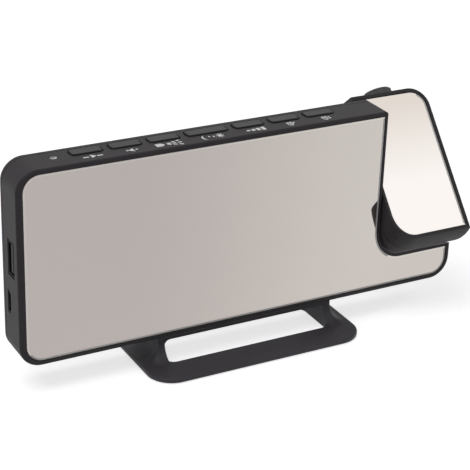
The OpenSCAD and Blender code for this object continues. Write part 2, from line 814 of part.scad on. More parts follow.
module head_rear() {
    color([0.24, 0.23, 0.25]) in_head() difference() {
        union() {
            difference() {
                head_shell();
                translate([0, -1, -1]) cube([body_w, head_split + 1, body_h + 2]);
            }
            for (p = head_posts)
                rod_y([p[0], head_split, p[1]], boss_d, body_t - head_wall + 0.3 - head_split);
        }
        // groove of the seam
        difference() {
            translate([0, head_split - 1, -1]) cube([body_w, 1 + seam, body_h + 2]);
            intersection() {
                sheet(seam, head_split - 2, head_split + 1);
                head_space(seam);
            }
        }
        for (p = head_posts) {
            rod_y([p[0], head_split - 1, p[1]], screw_free, body_t);
            rod_y([p[0], body_t - head_sink, p[1]], small_screw_head + 0.4, body_t);
        }
    }
}

module head_screws() {
    color([0.6, 0.6, 0.62]) in_head()
        for (p = head_posts)
            screw(p, body_t - head_sink, body_t - head_sink - head_split + 4.5, small_screw_head, 0.9);
}

module head_mirror() {
    color([0.85, 0.82, 0.79]) in_head() intersection() {
        sheet(bezel, mirror_recess, pocket_y);
        head_space(head_rim);
    }
}

// Hollow axle: an inner flange and an outer collar hold the head's wall between them
module axle_tube() {
    color([0.2, 0.2, 0.21]) in_head() difference() {
        union() {
            rod_x([axle_end, pivot_y, pivot_z], axle_d, head_x + head_wall + 1.5 - axle_end);
            rod_x([head_x + head_wall, pivot_y, pivot_z], flange_d, 1.5);
            rod_x([head_x - collar_t, pivot_y, pivot_z], flange_d, collar_t);
        }
        rod_x([axle_end - 1, pivot_y, pivot_z], axle_bore, body_w);
        // groove of the clip
        difference() {
            rod_x([clip_x, pivot_y, pivot_z], 10, clip_t + 0.05);
            rod_x([clip_x - 1, pivot_y, pivot_z], axle_d - 1, clip_t + 2);
        }
    }
}

module spring_washer() {
    color([0.7, 0.7, 0.72]) in_head() difference() {
        rod_x([washer_x, pivot_y, pivot_z], clip_d, washer_t);
        rod_x([washer_x - 1, pivot_y, pivot_z], axle_d + 0.2, washer_t + 2);
    }
}

module retaining_clip() {
    color([0.55, 0.55, 0.57]) in_head() difference() {
        rod_x([clip_x, pivot_y, pivot_z], clip_d, clip_t);
        rod_x([clip_x - 1, pivot_y, pivot_z], axle_d - 0.9, clip_t + 2);
        translate([clip_x - 1, pivot_y - 1.2, pivot_z - 6]) cube([clip_t + 2, 2.4, 6]);
    }
}

// ---- Projector

module lamp_board() {
    color([0.9, 0.9, 0.88]) in_head()
        translate([lens_x - frame_w / 2, frame_y, frame_low - lamp_board_t])
            cube([frame_w, frame_d, lamp_board_t]);
}

module projector_lamp() {
    color([0.95, 0.93, 0.7]) in_head() translate([lens_x, lens_y, frame_low]) {
        cylinder(d = 4, h = 1);
        translate([0, 0, 0.8]) cylinder(d1 = 3.2, d2 = 2, h = lamp_h - 0.8);
    }
}

module condenser_lens() {
    color([0.85, 0.9, 0.92, 0.5]) in_head() translate([lens_x, lens_y, condenser_z]) {
        cylinder(d = optic_bore - 0.1, h = condenser_rim);
        translate([0, 0, condenser_rim - 0.1])
            cylinder(d1 = optic_bore - 1.4, d2 = optic_bore - 4, h = condenser_t - condenser_rim + 0.1);
    }
}

module image_panel() {
    color([0.35, 0.4, 0.38]) in_head()
        translate([lens_x - panel_w / 2, lens_y - panel_w / 2, panel_z]) cube([panel_w, panel_w, panel_t]);
}

module optics_frame() {
    color([0.15, 0.15, 0.16]) in_head() difference() {
        translate([lens_x - frame_w / 2, frame_y, frame_low])
            cube([frame_w, frame_d, sleeve_low - frame_low]);
        // light path: wide up to the condenser's shoulder, narrower above it
        translate([lens_x, lens_y, frame_low - 1])
            cylinder(d = optic_bore, h = condenser_z + condenser_rim - frame_low + 1);
        translate([lens_x, lens_y, condenser_z]) cylinder(d = optic_bore - 0.8, h = sleeve_low);
        // slot that the panel slides into from the front
        translate([lens_x - panel_w / 2 - 0.1, frame_y - 1, panel_z - 0.05])
            cube([panel_w + 0.2, lens_y + panel_w / 2 + 0.1 - frame_y + 1, panel_t + 0.1]);
    }
}

module lens_sleeve() {
    color([0.18, 0.18, 0.19]) in_head() translate([lens_x, lens_y, sleeve_low]) difference() {
        cylinder(d = sleeve_d, h = sleeve_len);
        translate([0, 0, 1.5]) cylinder(d = stem_d + 2 * stem_play, h = sleeve_len);
        translate([0, 0, -1]) cylinder(d = stem_d - 1.6, h = sleeve_len);
    }
}

// Knurled ring over the head's top, with a stem that turns in the sleeve
module focus_ring() {
    low = body_h + ring_gap;
    top = body_h + ring_h;
    stem_low = sleeve_low + 6;
    ribs = 36;
    color([0.2, 0.19, 0.21]) in_head() translate([lens_x, lens_y, 0]) difference() {
        union() {
            translate([0, 0, low]) linear_extrude(top - 0.5 - low) polygon(
                [for (i = [0:2 * ribs - 1]) let (r = ring_d / 2 - 0.18 * (i % 2), a = 180 * i / ribs)
                    [r * cos(a), r * sin(a)]]);
            translate([0, 0, top - 0.5]) cylinder(d1 = ring_d - 0.4, d2 = ring_d - 1.2, h = 0.5);
            translate([0, 0, stem_low]) cylinder(d = stem_d, h = low + 0.5 - stem_low);
        }
        translate([0, 0, stem_low - 1]) cylinder(d = cell_d + 2 * stem_play, h = sleeve_low + body_h);
        translate([0, 0, top - 0.9]) cylinder(d1 = cell_d + 0.1, d2 = cell_d + 1.9, h = 1);
    }
}

module lens_cell() {
    top = body_h + ring_h - cell_sink;
    color([0.12, 0.12, 0.13]) in_head() translate([lens_x, lens_y, top - cell_len]) difference() {
        cylinder(d = cell_d, h = cell_len);
        translate([0, 0, -1]) cylinder(d = lens_d - 0.8, h = cell_len + 2);
        translate([0, 0, cell_len - 3.4]) cylinder(d = lens_d + 0.1, h = 4);
    }
}

module projection_lens() {
    top = body_h + ring_h - cell_sink;
    color([0.75, 0.82, 0.88, 0.5]) in_head() translate([lens_x, lens_y, top - 3.4])
        intersection() {
            cylinder(d = lens_d, h = 3.2);
            translate([0, 0, 2.8 - lens_d]) sphere(r = lens_d);
        }
}

module projector_lead() {
    color([0.3, 0.3, 0.32]) in_head() {
        rod_x([lead_end, pivot_y, pivot_z], lead_d, lens_x - lead_end);
        translate([lens_x, pivot_y, pivot_z]) sphere(d = lead_d);
        translate([lens_x, pivot_y, pivot_z])
            cylinder(d = lead_d, h = frame_low - lamp_board_t - pivot_z);
    }
}

// ---- Stand

// Concave foot of a post, seen from the side: it runs out by foot_r
module foot_section() {
    polygon(concat([[-0.3, -0.1], [foot_r, -0.1]],
        arc(foot_r, foot_r, foot_r, -90, -180, 2 * arc_steps), [[-0.3, foot_r]]));
}

// A foot's round corner about a post's upright edge
module foot_corner() {
    rotate_extrude(angle = 90) intersection() {
        foot_section();
        translate([0, -1]) square(2 * foot_r);
    }
}

module posts_and_plate() {
    inner = stand_w - 2 * side_bar_w;
    outer = inner + 2 * post_w;
    post_d = post_y1 - post_y0;
    translate([0, post_y1, 0]) rotate([90, 0, 0]) linear_extrude(post_d) difference() {
        translate([-outer / 2, ring_top - 0.1]) square([outer, stand_h - ring_top + 0.1]);
        polygon(concat([[-inner / 2, ring_top - 1]],
            arc(-inner / 2 + post_fillet, plate_low - post_fillet, post_fillet, 180, 90, arc_steps),
            arc(inner / 2 - post_fillet, plate_low - post_fillet, post_fillet, 90, 0, arc_steps),
            [[inner / 2, ring_top - 1]]));
    }
    for (side = [0, 1]) mirror([side, 0, 0]) translate([0, body_t / 2, ring_top]) {
        translate([outer / 2, post_d / 2, 0]) rotate([90, 0, 0]) linear_extrude(post_d) foot_section();
        for (back = [0, 1]) mirror([0, back, 0]) {
            translate([inner / 2, post_d / 2, 0]) rotate([90, 0, 90])
                linear_extrude(post_w) foot_section();
            translate([outer / 2, post_d / 2, 0]) foot_corner();
        }
    }
}

module stand() {
    color([0.25, 0.24, 0.27]) translate([0, front_y, 0]) difference() {
        union() {
            difference() {
                // outer form of the ring, round at its edges
                translate([0, -stand_reach, ring_top]) rotate([-90, 0, 0])
                    slab(stand_w, ring_depth, stand_t, ring_r, ring_round, ring_round);
                translate([0, body_t / 2, ring_low - 1]) linear_extrude(stand_t + 2) polygon(
                    round_rect(stand_w - 2 * side_bar_w, ring_depth - 2 * bar_w, hole_r));
            }
            posts_and_plate();
        }
        for (side = [-1, 1]) {
            translate([side * stand_screw_x, body_t / 2, 0]) cylinder(d = screw_free, h = stand_h + 1);
            translate([0, body_t / 2 + side * (ring_depth / 2 - strip_in), ring_low - 1])
                linear_extrude(1 + strip_sink)
                    polygon(round_rect(strip_l + 0.2, strip_w + 0.2, strip_w / 2));
        }
    }
}

module stand_screws() {
    color([0.6, 0.6, 0.62]) translate([0, front_y + body_t / 2, 0]) for (side = [-1, 1])
        translate([side * stand_screw_x, 0, plate_low]) {
            cylinder(d = screw_d, h = stand_t + stand_screw_len);
            difference() {
                translate([0, 0, -stand_head_t]) cylinder(d = stand_screw_head, h = stand_head_t);
                for (turn = [0, 90]) rotate([0, 0, turn]) translate([0, 0, -stand_head_t])
                    cube([0.6, stand_screw_head * 0.6, stand_head_t], center = true);
            }
        }
}

module foot_strips() {
    color([0.12, 0.12, 0.12]) translate([0, front_y + body_t / 2, 0])
        for (side = [-1, 1]) translate([0, side * (ring_depth / 2 - strip_in), 0])
            linear_extrude(ring_low + strip_sink) polygon(round_rect(strip_l, strip_w, strip_w / 2 - 0.1));
}

housing();
rear_cover();
cover_screws();
mirror_panel();
button_down();
button_up();
button_project();
button_snooze();
button_mode();
button_alarm_1();
button_alarm_2();
sensor_lens();
light_sensor();
button_board();
tact_switches();
display_module();
main_board();
board_screws();
control_chip();
buzzer();
lead_connector();
usb_a_socket();
usb_a_tongue();
usb_contacts();
micro_usb_socket();
micro_usb_tongue();
coin_cell();
cell_contact();
battery_door();
door_screw();
head_front();
head_rear();
head_screws();
head_mirror();
axle_tube();
spring_washer();
retaining_clip();
lamp_board();
projector_lamp();
condenser_lens();
image_panel();
optics_frame();
lens_sleeve();
focus_ring();
lens_cell();
projection_lens();
projector_lead();
stand();
stand_screws();
foot_strips();
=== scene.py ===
import math
import bmesh
import bpy
from mathutils import Matrix, Vector


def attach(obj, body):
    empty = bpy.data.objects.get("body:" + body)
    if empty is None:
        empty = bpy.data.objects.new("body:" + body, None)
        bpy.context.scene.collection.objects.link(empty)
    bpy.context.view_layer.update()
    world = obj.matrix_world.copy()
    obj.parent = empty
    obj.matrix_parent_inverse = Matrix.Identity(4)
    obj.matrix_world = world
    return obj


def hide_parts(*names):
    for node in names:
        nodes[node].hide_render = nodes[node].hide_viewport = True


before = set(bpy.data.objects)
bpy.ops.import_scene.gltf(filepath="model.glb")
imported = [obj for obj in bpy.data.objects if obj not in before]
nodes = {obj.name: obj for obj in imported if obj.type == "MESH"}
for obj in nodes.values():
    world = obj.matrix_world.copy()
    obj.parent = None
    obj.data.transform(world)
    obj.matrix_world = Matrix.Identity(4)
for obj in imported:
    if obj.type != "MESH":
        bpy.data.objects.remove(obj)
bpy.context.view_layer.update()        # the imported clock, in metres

mm = 0.001
print("frame loaded:", len(nodes), "nodes")

# places that the clock's solids give
bodyTop = 0.090
headTurn = Matrix.Rotation(math.radians(-40.3), 3, "X")    # tips the upright head back to its rest pose
uprightFront, uprightUp = Vector((0, -1, 0)), Vector((0, 0, 1))


# a material with its node tree and its main shader, which the finishes below fill in
def newTree(name):
    material = bpy.data.materials.new(name)
    material.use_nodes = True
    tree = material.node_tree
    tree.nodes.clear()
    output = tree.nodes.new("ShaderNodeOutputMaterial")
    shader = tree.nodes.new("ShaderNodeBsdfPrincipled")
    tree.links.new(shader.outputs[0], output.inputs["Surface"])
    return material, tree, shader


# adds a node; an input is either a value or the output of another node
def make(tree, kind, inputs=None, **settings):
    item = tree.nodes.new(kind)
    for key, value in settings.items():
        setattr(item, key, value)
    for key, value in (inputs or {}).items():
        if hasattr(value, "is_output"):
            tree.links.new(value, item.inputs[key])
        else:
            item.inputs[key].default_value = value
    return item


def objectPlace(tree):
    return make(tree, "ShaderNodeTexCoord").outputs["Object"]


def noise(tree, scale, detail=3.0, rough=0.55):
    inputs = {"Vector": objectPlace(tree), "Scale": scale, "Detail": detail, "Roughness": rough}
    return make(tree, "ShaderNodeTexNoise", inputs).outputs["Fac"]


def remap(tree, value, low, high, toLow, toHigh):
    return make(tree, "ShaderNodeMapRange", {"Value": value, "From Min": low, "From Max": high,
                                             "To Min": toLow, "To Max": toHigh}).outputs[0]


def blendColours(tree, factor, first, second):
    mix = make(tree, "ShaderNodeMix", data_type="RGBA")
    for socket, value in ((0, factor), (6, first), (7, second)):
        if hasattr(value, "is_output"):
            tree.links.new(value, mix.inputs[socket])
        else:
            mix.inputs[socket].default_value = value
    return mix.outputs[2]


def mathNode(tree, operation, first, second):
    return make(tree, "ShaderNodeMath", {0: first, 1: second}, operation=operation).outputs[0]


def dotProduct(tree, first, second):
    return make(tree, "ShaderNodeVectorMath", {0: first, 1: second}, operation="DOT_PRODUCT").outputs["Value"]


def tone(r, g, b):
    return (r, g, b, 1.0)


def softNormal(tree, radius):
    return make(tree, "ShaderNodeBevel", {"Radius": radius}, samples=6).outputs[0]


# how much an edge is rounded off here, from 0 on a flat to 1 at a sharp corner
def edgeMask(tree, radius, low=0.02, high=0.3):
    plain = make(tree, "ShaderNodeNewGeometry").outputs["Normal"]
    cosine = dotProduct(tree, softNormal(tree, radius), plain)
    return remap(tree, mathNode(tree, "SUBTRACT", 1.0, cosine), low, high, 0.0, 1.0)


def bumpOver(tree, height, strength, distance, edgeRadius=None):
    inputs = {"Height": height, "Strength": strength, "Distance": distance}
    if edgeRadius:
        inputs["Normal"] = softNormal(tree, edgeRadius)
    return make(tree, "ShaderNodeBump", inputs).outputs[0]


# roughness that runs from low to high as the pattern runs over its span
def roughOver(tree, shader, pattern, low, high, span=(0.3, 0.7)):
    tree.links.new(remap(tree, pattern, *span, low, high), shader.inputs["Roughness"])


# moulded plastic: grain in the mould, faint blotches, edges rubbed a little brighter
def mouldedPlastic(name, look):
    material, tree, shader = newTree(name)
    blotch = noise(tree, **look["blotch"])
    grain = noise(tree, **look["grain"])
    base = blendColours(tree, remap(tree, blotch, *look["blotchSpan"], 0, 1), look["dark"], look["light"])
    patches = noise(tree, **look["patches"])
    worn = mathNode(tree, "MULTIPLY", edgeMask(tree, look["edgeRadius"]),
                    remap(tree, patches, *look["patchSpan"], look["edgeWearLeast"], look["edgeWear"]))
    colour = blendColours(tree, worn, base, look["worn"])
    if "gapShade" in look:    # painted shade in the gap: the button sides are painted near-black between two heights
        height = make(tree, "ShaderNodeSeparateXYZ", {"Vector": objectPlace(tree)}).outputs[2]
        colour = blendColours(tree, remap(tree, height, *look["gapShade"], 1, 0), colour, look["gapShadeColour"])
    tree.links.new(colour, shader.inputs["Base Color"])
    roughOver(tree, shader, grain, look["roughLow"], look["roughHigh"])
    relief = bumpOver(tree, grain, look["grainDepth"], look["grainHeight"], look["edgeRadius"])
    tree.links.new(relief, shader.inputs["Normal"])
    shader.inputs["Specular IOR Level"].default_value = look["gloss"]
    return material


# metal: brushed or pressed, with faint scratches
def metal(name, look):
    material, tree, shader = newTree(name)
    stretched = {"Vector": objectPlace(tree), "Scale": look["stretch"]}
    place = make(tree, "ShaderNodeMapping", stretched).outputs[0]
    inputs = {"Vector": place, "Scale": look["streakScale"], "Detail": look["streakDetail"]}
    streaks = make(tree, "ShaderNodeTexNoise", inputs).outputs["Fac"]
    tree.links.new(blendColours(tree, streaks, look["dark"], look["light"]), shader.inputs["Base Color"])
    roughOver(tree, shader, streaks, look["roughLow"], look["roughHigh"])
    relief = bumpOver(tree, streaks, look["streakDepth"], look["streakHeight"], look["edgeRadius"])
    tree.links.new(relief, shader.inputs["Normal"])
    shader.inputs["Metallic"].default_value = 1.0
    return material


def dress(material, *names):
    for name in names:
        for entry in nodes[name].material_slots:
            entry.material = material


# the plastics; each one is told by what differs from the casing's, and lengths are in metres
casingLook = {"dark": tone(0.0240, 0.0208, 0.0236), "light": tone(0.0296, 0.0262, 0.0292),
              "worn": tone(0.05, 0.047, 0.051),
              "blotch": {"scale": 60.0, "detail": 4.0}, "blotchSpan": (0.35, 0.65),
              "grain": {"scale": 5200.0, "detail": 2.0, "rough": 0.6}, "grainDepth": 0.25,
              "grainHeight": 0.00006, "roughLow": 0.5, "roughHigh": 0.62, "gloss": 0.22,
              "patches": {"scale": 420.0, "detail": 2.0}, "patchSpan": (0.3, 0.7),
              "edgeRadius": 0.0003, "edgeWear": 0.3, "edgeWearLeast": 0.2}
standLook = dict(casingLook, dark=tone(0.052, 0.048, 0.056), light=tone(0.060, 0.055, 0.065),
                 grainDepth=0.15, roughLow=0.42, roughHigh=0.55)
# the buttons' skirts fade to near-black just above the casing top, as painted shade in the gap around them
buttonLook = dict(casingLook, dark=tone(0.049, 0.046, 0.050), light=tone(0.056, 0.053, 0.057),
                  grainDepth=0.12, roughLow=0.45, roughHigh=0.55,
                  gapShade=(bodyTop + 0.15 * mm, bodyTop + 0.4 * mm), gapShadeColour=tone(0.004, 0.004, 0.004))
ringLook = dict(casingLook, dark=tone(0.020, 0.019, 0.021), light=tone(0.027, 0.026, 0.028), roughLow=0.34,
                roughHigh=0.46, edgeRadius=0.0002, gloss=0.5)
tongueLook = dict(casingLook, dark=tone(0.034, 0.033, 0.035), light=tone(0.044, 0.043, 0.045),
                  edgeRadius=0.0001)
blackLook = dict(casingLook, dark=tone(0.012, 0.012, 0.013), light=tone(0.018, 0.018, 0.019),
                 edgeRadius=0.0002)
nylonLook = dict(casingLook, dark=tone(0.74, 0.70, 0.60), light=tone(0.82, 0.79, 0.70),
                 worn=tone(0.86, 0.84, 0.78), edgeRadius=0.0002)
lampBoardLook = dict(casingLook, dark=tone(0.72, 0.72, 0.70), light=tone(0.80, 0.80, 0.78),
                     worn=tone(0.6, 0.6, 0.5), edgeRadius=0.0002, grainDepth=0.1)
leadLook = dict(casingLook, dark=tone(0.055, 0.055, 0.06), light=tone(0.07, 0.07, 0.076), roughLow=0.55,
                roughHigh=0.7, edgeRadius=0.0002)

dress(mouldedPlastic("casingPlastic", casingLook), "housing", "rear_cover", "battery_door", "head_front",
      "head_rear")
dress(mouldedPlastic("standPlastic", standLook), "stand")
dress(mouldedPlastic("buttonPlastic", buttonLook), "button_down", "button_up", "button_project",
      "button_snooze", "button_mode", "button_alarm_1", "button_alarm_2")
dress(mouldedPlastic("ringPlastic", ringLook), "focus_ring")
dress(mouldedPlastic("tonguePlastic", tongueLook), "usb_a_tongue", "micro_usb_tongue")
dress(mouldedPlastic("blackPlastic", blackLook), "light_sensor", "tact_switches", "control_chip", "buzzer",
      "axle_tube", "optics_frame", "lens_sleeve", "lens_cell")
dress(mouldedPlastic("whiteNylon", nylonLook), "lead_connector")
dress(mouldedPlastic("lampBoardCoat", lampBoardLook), "lamp_board")
dress(mouldedPlastic("leadSheath", leadLook), "projector_lead")

steelLook = {"dark": tone(0.46, 0.47, 0.48), "light": tone(0.62, 0.63, 0.65), "roughLow": 0.25,
             "roughHigh": 0.38, "stretch": (0.15, 1.0, 1.0), "edgeRadius": 0.0001,
             "streakScale": 900.0, "streakDetail": 3.0, "streakDepth": 0.12, "streakHeight": 0.00004}
zincLook = dict(steelLook, dark=tone(0.30, 0.30, 0.32), light=tone(0.42, 0.42, 0.44),
                stretch=(1.0, 1.0, 0.3))
brassLook = dict(steelLook, dark=tone(0.55, 0.42, 0.18), light=tone(0.72, 0.58, 0.30),
                 stretch=(1.0, 0.4, 1.0))
# near-black steel for the socket shells, partly painted shade: the dark stands in for the shade deep inside
# the slots
blackSteelLook = dict(steelLook, dark=tone(0.012, 0.012, 0.013), light=tone(0.025, 0.025, 0.027),
                      roughLow=0.4, roughHigh=0.55)
dress(metal("pressedSteel", steelLook), "coin_cell", "spring_washer")
dress(metal("blackSteel", blackSteelLook), "usb_a_socket", "micro_usb_socket")
dress(metal("zincSteel", zincLook), "cover_screws", "door_screw", "head_screws", "stand_screws",
      "retaining_clip")
dress(metal("yellowBrass", brassLook), "board_screws", "cell_contact", "usb_contacts")


# green board: solder mask with fine copper tracks under it
def boardCoat():
    look = {"mask": tone(0.010, 0.085, 0.035), "track": tone(0.018, 0.14, 0.055), "roughLow": 0.32,
            "roughHigh": 0.47, "cellScale": 260.0, "trackWidth": 0.03, "trackDepth": 0.3,
            "trackHeight": 0.00005, "speckScale": 900.0, "copperSpan": (0.4, 0.8), "copperMost": 0.4}
    material, tree, shader = newTree("boardCoat")
    cells = make(tree, "ShaderNodeTexBrick", {"Vector": objectPlace(tree), "Scale": look["cellScale"],
                                              "Mortar Size": look["trackWidth"], "Color1": look["mask"],
                                              "Color2": look["mask"], "Mortar": look["track"]})
    speck = noise(tree, look["speckScale"])
    copper = remap(tree, speck, *look["copperSpan"], 0, look["copperMost"])
    tree.links.new(blendColours(tree, copper, cells.outputs[0], look["track"]), shader.inputs["Base Color"])
    relief = bumpOver(tree, cells.outputs["Fac"], look["trackDepth"], look["trackHeight"])
    tree.links.new(relief, shader.inputs["Normal"])
    roughOver(tree, shader, speck, look["roughLow"], look["roughHigh"])
    return material


dress(boardCoat(), "main_board", "button_board")


# rubber of the foot strips: dull, with a fine tooth
def footRubber():
    look = {"dark": tone(0.010, 0.010, 0.010), "dusty": tone(0.035, 0.034, 0.033),
            "dust": {"scale": 300.0, "detail": 4.0}, "dustSpan": (0.45, 0.75), "dustMost": 0.6,
            "roughLow": 0.7, "roughHigh": 0.9, "toothScale": 4000.0, "toothDepth": 0.4,
            "toothHeight": 0.00008, "edgeRadius": 0.0003}
    material, tree, shader = newTree("footRubber")
    dust = remap(tree, noise(tree, **look["dust"]), *look["dustSpan"], 0, look["dustMost"])
    tree.links.new(blendColours(tree, dust, look["dark"], look["dusty"]), shader.inputs["Base Color"])
    roughOver(tree, shader, dust, look["roughLow"], look["roughHigh"], (0, look["dustMost"]))
    relief = bumpOver(tree, noise(tree, look["toothScale"]), look["toothDepth"], look["toothHeight"],
                      look["edgeRadius"])
    tree.links.new(relief, shader.inputs["Normal"])
    return material


dress(footRubber(), "foot_strips")


# clear and coated glass of the lenses, the sensor window, the image panel and the lamp
filmLook = {"scale": 500.0, "span": (0.4, 0.7), "rougher": 0.06, "depth": 0.03, "height": 0.00002}
lensLook = {"tint": tone(0.80, 0.84, 0.95), "film": tone(0.66, 0.72, 0.95), "rough": 0.02, "clear": 0.85,
            "bend": 1.49}
# the sensor window's dome has painted shade in its middle and a painted highlight along its rim
windowLook = {"tint": tone(0.92, 0.92, 0.94), "film": tone(0.84, 0.84, 0.86), "rough": 0.2, "clear": 0.15,
              "bend": 1.45, "domeShade": tone(0.13, 0.13, 0.14), "domeMiddle": (-0.0774, 0.0193, bodyTop),
              "domeRim": (0.0011, 0.0018)}
panelLook = {"tint": tone(0.08, 0.10, 0.09), "film": tone(0.12, 0.14, 0.13), "rough": 0.12, "clear": 0.3,
             "bend": 1.5}
domeLook = {"tint": tone(0.90, 0.85, 0.45), "film": tone(0.95, 0.92, 0.70), "rough": 0.2, "clear": 0.2,
            "bend": 1.5}


def clearGlass(name, look):
    material, tree, shader = newTree(name)
    film = noise(tree, filmLook["scale"])
    colour = blendColours(tree, film, look["tint"], look["film"])
    if "domeRim" in look:    # painted shade and highlight: the dome is painted dim in its middle and given a painted highlight along its front rim
        reach = make(tree, "ShaderNodeVectorMath", {0: objectPlace(tree), 1: look["domeMiddle"]},
                     operation="DISTANCE").outputs["Value"]
        rim = remap(tree, reach, *look["domeRim"], 0, 1)
        colour = blendColours(tree, rim, look["domeShade"], colour)
    tree.links.new(colour, shader.inputs["Base Color"])
    roughOver(tree, shader, film, look["rough"], look["rough"] + filmLook["rougher"], filmLook["span"])
    tree.links.new(bumpOver(tree, film, filmLook["depth"], filmLook["height"]), shader.inputs["Normal"])
    shader.inputs["Transmission Weight"].default_value = look["clear"]
    shader.inputs["IOR"].default_value = look["bend"]
    return material


dress(clearGlass("lensGlass", lensLook), "projection_lens", "condenser_lens")
dress(clearGlass("sensorWindow", windowLook), "sensor_lens")
dress(clearGlass("imageGlass", panelLook), "image_panel")
dress(clearGlass("lampDome", domeLook), "projector_lamp")


# display block: black filter over faint digit grooves
def displayFilter():
    look = {"dark": tone(0.006, 0.006, 0.007), "light": tone(0.012, 0.012, 0.014), "cloudScale": 150.0,
            "roughLow": 0.12, "roughHigh": 0.22, "depth": 0.05, "height": 0.00003, "edgeRadius": 0.0002}
    material, tree, shader = newTree("displayFilter")
    cloud = noise(tree, look["cloudScale"])
    tree.links.new(blendColours(tree, cloud, look["dark"], look["light"]), shader.inputs["Base Color"])
    roughOver(tree, shader, cloud, look["roughLow"], look["roughHigh"])
    relief = bumpOver(tree, cloud, look["depth"], look["height"], look["edgeRadius"])
    tree.links.new(relief, shader.inputs["Normal"])
    return material


dress(displayFilter(), "display_module")
print("finishes of the solids done")


# painted reflection: the mirrors' silver is painted darker at the left and lighter at the right, between two
# places in metres
mirrorLook = {"left": tone(0.413, 0.377, 0.361), "right": tone(0.548, 0.509, 0.476), "from": -0.055,
              "to": 0.070, "dull": tone(0.42, 0.37, 0.35), "cloudScale": 24.0, "cloudSpan": (0.35, 0.7),
              "cloudMost": 0.05, "smudge": {"scale": 90.0, "detail": 5.0, "rough": 0.7},
              "smudgeSpan": (0.45, 0.8), "roughLow": 0.03, "roughHigh": 0.045,
              "wave": {"scale": 30.0, "detail": 1.0}, "waveDepth": 0.02, "waveHeight": 0.00005,
              "sheen": (1.08, 1.09, 1.09)}
edgeLook = {"dark": tone(0.46, 0.45, 0.42), "light": tone(0.70, 0.69, 0.65), "metallic": 0.6}
marginLook = {"dark": tone(0.56, 0.55, 0.53), "light": tone(0.66, 0.65, 0.63), "metallic": 0.0}
rimSizes = {"chamfer": 0.15 * mm, "chamferSteps": 2, "margin": 0.7 * mm, "mergeWithin": 0.004 * mm,
            "flatWithin": 0.01 * mm, "flatTurn": math.radians(0.6), "sharpTurn": math.radians(45),
            "sameWay": 0.999, "mostly": 0.5}    # the last two are cosines
# painted reflection: the head's silver is painted darker from its foot towards its top
headFade = {"low": 0.0515, "high": 0.0845,    # heights along the tipped head
            "foot": tone(0.995, 1.015, 1.05), "top": tone(0.775, 0.768, 0.750)}


def mirrorSilver(name, fade=None, lift=None):
    look = mirrorLook
    material, tree, shader = newTree(name)
    # painted reflection: the silver is painted darker at the left than at the right; lift also carries the
    # painted fade and sheen
    across = make(tree, "ShaderNodeSeparateXYZ", {"Vector": objectPlace(tree)}).outputs[0]
    inputs = {"Value": across, "From Min": look["from"], "From Max": look["to"]}
    side = make(tree, "ShaderNodeMapRange", inputs, interpolation_type="SMOOTHSTEP").outputs[0]
    tint = blendColours(tree, side, look["left"], look["right"])
    # painted reflection down the tipped head
    if fade:
        height = dotProduct(tree, objectPlace(tree), headTurn @ uprightUp)
        run = remap(tree, height, fade["low"], fade["high"], 0, 1)
        lift = blendColours(tree, run, fade["foot"], fade["top"])
    if lift:
        tint = make(tree, "ShaderNodeVectorMath", {0: tint, 1: lift}, operation="MULTIPLY").outputs[0]
    cloud = remap(tree, noise(tree, look["cloudScale"]), *look["cloudSpan"], 0, look["cloudMost"])
    smudge = noise(tree, **look["smudge"])
    tree.links.new(blendColours(tree, cloud, tint, look["dull"]), shader.inputs["Base Color"])
    roughOver(tree, shader, smudge, look["roughLow"], look["roughHigh"], look["smudgeSpan"])
    wave = noise(tree, **look["wave"])
    tree.links.new(bumpOver(tree, wave, look["waveDepth"], look["waveHeight"]), shader.inputs["Normal"])
    shader.inputs["Metallic"].default_value = 1.0
    return material


def polishedEdge(name, look):
    sawMarks = {"tintScale": 700.0, "roughScale": 900.0, "roughLow": 0.12, "roughHigh": 0.3, "scale": 2500.0,
                "depth": 0.1, "height": 0.00002}
    material, tree, shader = newTree(name)
    tint = blendColours(tree, noise(tree, sawMarks["tintScale"]), look["dark"], look["light"])
    tree.links.new(tint, shader.inputs["Base Color"])
    patches = noise(tree, sawMarks["roughScale"])
    roughOver(tree, shader, patches, sawMarks["roughLow"], sawMarks["roughHigh"])
    relief = bumpOver(tree, noise(tree, sawMarks["scale"]), sawMarks["depth"], sawMarks["height"])
    tree.links.new(relief, shader.inputs["Normal"])
    shader.inputs["Metallic"].default_value = look["metallic"]
    return material


# which way a margin face points, square to its outer edge
def outwardOf(face, frontNormal):
    for edge in face.edges:
        if any(f.normal.dot(frontNormal) < rimSizes["sameWay"] for f in edge.link_faces):
            first, second = (vert.co for vert in edge.verts)
            square = (second - first).cross(frontNormal).normalized()
            return square if square.dot(first - face.calc_center_median()) > 0 else -square
    return Vector((0, 0, 0))
